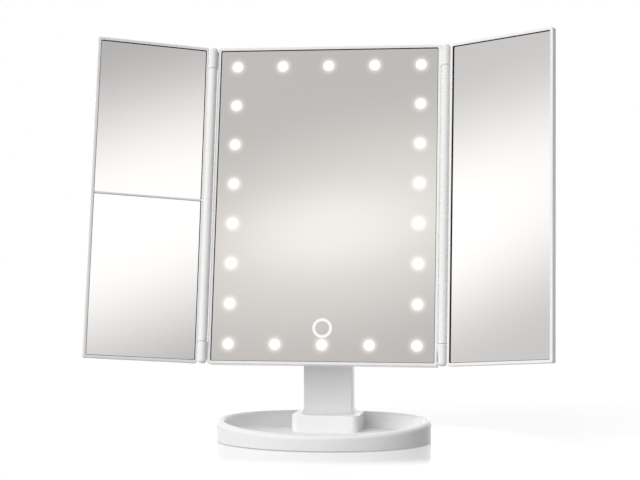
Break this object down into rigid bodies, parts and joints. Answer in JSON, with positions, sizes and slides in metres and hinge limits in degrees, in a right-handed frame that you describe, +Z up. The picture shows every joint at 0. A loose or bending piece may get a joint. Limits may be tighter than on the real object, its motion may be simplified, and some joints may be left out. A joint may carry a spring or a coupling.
{
  "type": "trifold vanity mirror",
  "caption": "Free-standing lit vanity mirror with a tilting main panel, hinged side mirrors that fold over it, a flat neck and an oval tray base.",
  "frame": {"origin": "on the table, at the centre of the oval base's underside", "axes": "+Z up; the mirror faces -Y and leans back; +X is the viewer's right"},
  "size_m": [0.3364, 0.114, 0.2976],
  "materials": {
    "white_plastic": "glossy moulded white",
    "mirror_glass": "silvered float glass",
    "light_window": "frosted clear window, lit warm white",
    "steel": "zinc-plated",
    "tape": "foam tape",
    "grey_rubber": "matte",
    "strip_film": "matte film",
    "phosphor": "resin",
    "board_green": "solder mask",
    "brass": "plain",
    "cell_jacket": "plain sleeve",
    "dark_plastic": "matte",
    "wire_jacket": "matte"
  },
  "bodies": {
    "base": {"base_tray": "white_plastic", "pedestal": "white_plastic", "base_plate": "white_plastic", "base_plate_screws": "steel", "foot_pad": "grey_rubber", "neck": "white_plastic", "neck_cover": "white_plastic", "neck_cover_screws": "steel", "neck_foot_screws": "steel", "pedestal_screws": "steel", "tilt_bolt": "steel", "tilt_nut": "steel", "friction_washers": "grey_rubber", "pivot_caps": "white_plastic"},
    "head": {"tilt_bracket": "white_plastic", "bracket_screws": "steel", "head_frame": "white_plastic", "head_back": "white_plastic", "head_screws": "steel", "main_mirror": "mirror_glass", "main_mirror_tape": "tape", "led_windows": "light_window", "touch_ring": "light_window", "led_strip": "strip_film", "leds": "phosphor", "control_board": "board_green", "touch_spring": "brass", "board_screws": "steel", "batteries": "cell_jacket", "battery_contacts": "steel", "battery_springs": "steel", "usb_inlet": "steel", "switch_body": "dark_plastic", "wiring": "wire_jacket", "left_hinge_pins": "steel", "right_hinge_pins": "steel"},
    "battery_door": {"battery_cover": "white_plastic"},
    "power_switch": {"switch_knob": "dark_plastic"},
    "left_wing": {"left_wing_frame": "white_plastic", "left_upper_mirror": "mirror_glass", "left_lower_mirror": "mirror_glass", "left_wing_tape": "tape"},
    "right_wing": {"right_wing_frame": "white_plastic", "right_mirror": "mirror_glass", "right_wing_tape": "tape"}
  },
  "joints": [
    {"name": "head_tilt", "type": "hinge", "parent": "base", "child": "head", "pos_m": [0, 0.03, 0.116], "axis": [-1, 0, 0], "range_deg": [-15, 70]},
    {"name": "left_wing_fold", "type": "hinge", "parent": "head", "child": "left_wing", "pos_m": [-0.0875, 0.00769, 0.17375], "axis": [0, 0.1736, 0.9848], "range_deg": [-24.5, 155.5]},
    {"name": "right_wing_fold", "type": "hinge", "parent": "head", "child": "right_wing", "pos_m": [0.0875, 0.00769, 0.17375], "axis": [0, -0.1736, -0.9848], "range_deg": [-27, 153]},
    {"name": "battery_cover_slide", "type": "slide", "parent": "head", "child": "battery_door", "axis": [0, 0.1736, 0.9848], "range_m": [0, 0.06]},
    {"name": "switch_slide", "type": "slide", "parent": "head", "child": "power_switch", "axis": [1, 0, 0], "range_m": [0, 0.003]}
  ]
}
